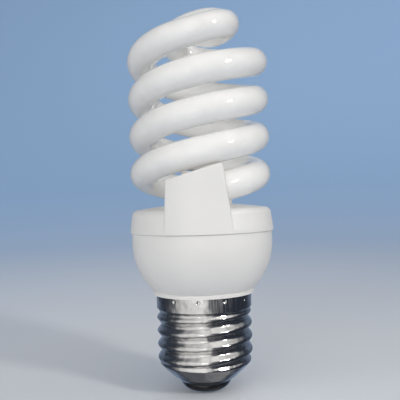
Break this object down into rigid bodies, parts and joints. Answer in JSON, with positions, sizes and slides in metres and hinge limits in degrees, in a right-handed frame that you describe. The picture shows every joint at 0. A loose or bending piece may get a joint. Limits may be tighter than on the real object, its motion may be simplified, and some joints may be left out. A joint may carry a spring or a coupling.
{
  "type": "spiral energy saving bulb",
  "caption": "Compact fluorescent lamp with a double spiral glass tube on a white plastic ballast base and a polished screw cap.",
  "frame": {"origin": "middle of the centre contact's face, at the bottom of the screw cap", "axes": "+Z from the cap up the spiral's axis, -Y towards the tower that faces the front"},
  "size_m": [0.0392, 0.0394, 0.1052],
  "materials": {
    "tube_glass": "clear glass over a white lining",
    "housing_plastic": "satin moulded",
    "cap_nickel": "polished nickel plate",
    "black_glass": "glossy pressed glass",
    "contact_tin": "tinned",
    "cement": "rough set cement",
    "board_laminate": "paper laminate",
    "tinned_wire": "tinned copper",
    "capacitor_sleeve": "shrink sleeve",
    "ferrite": "fired ferrite",
    "bobbin_plastic": "moulded",
    "copper_enamel": "enamelled copper wire",
    "component_black": "moulded epoxy",
    "film_red": "dipped resin",
    "film_green": "dipped resin",
    "diac_glass": "lacquered glass bead",
    "resistor_body": "lacquered ceramic",
    "wire_insulation": "plastic insulation"
  },
  "bodies": {
    "root": {"spiral_tube": "tube_glass", "top_cover": "housing_plastic", "base_housing": "housing_plastic", "screw_shell": "cap_nickel", "cap_insulator": "black_glass", "centre_contact": "contact_tin", "tube_cement_front": "cement", "tube_cement_rear": "cement", "electrode_leads_front": "tinned_wire", "electrode_leads_rear": "tinned_wire", "wrap_pins": "tinned_wire", "ballast_board": "board_laminate", "main_capacitor": "capacitor_sleeve", "choke_core": "ferrite", "choke_bobbin": "bobbin_plastic", "choke_winding": "copper_enamel", "drive_core": "ferrite", "drive_windings": "copper_enamel", "transistor_right": "component_black", "transistor_left": "component_black", "rectifier_diodes": "component_black", "resonant_capacitor": "film_red", "coupling_capacitor": "film_green", "diac": "diac_glass", "resistors": "resistor_body", "input_inductor": "bobbin_plastic", "fuse_resistor": "resistor_body", "live_lead": "wire_insulation", "neutral_lead": "wire_insulation"}
  },
  "joints": []
}
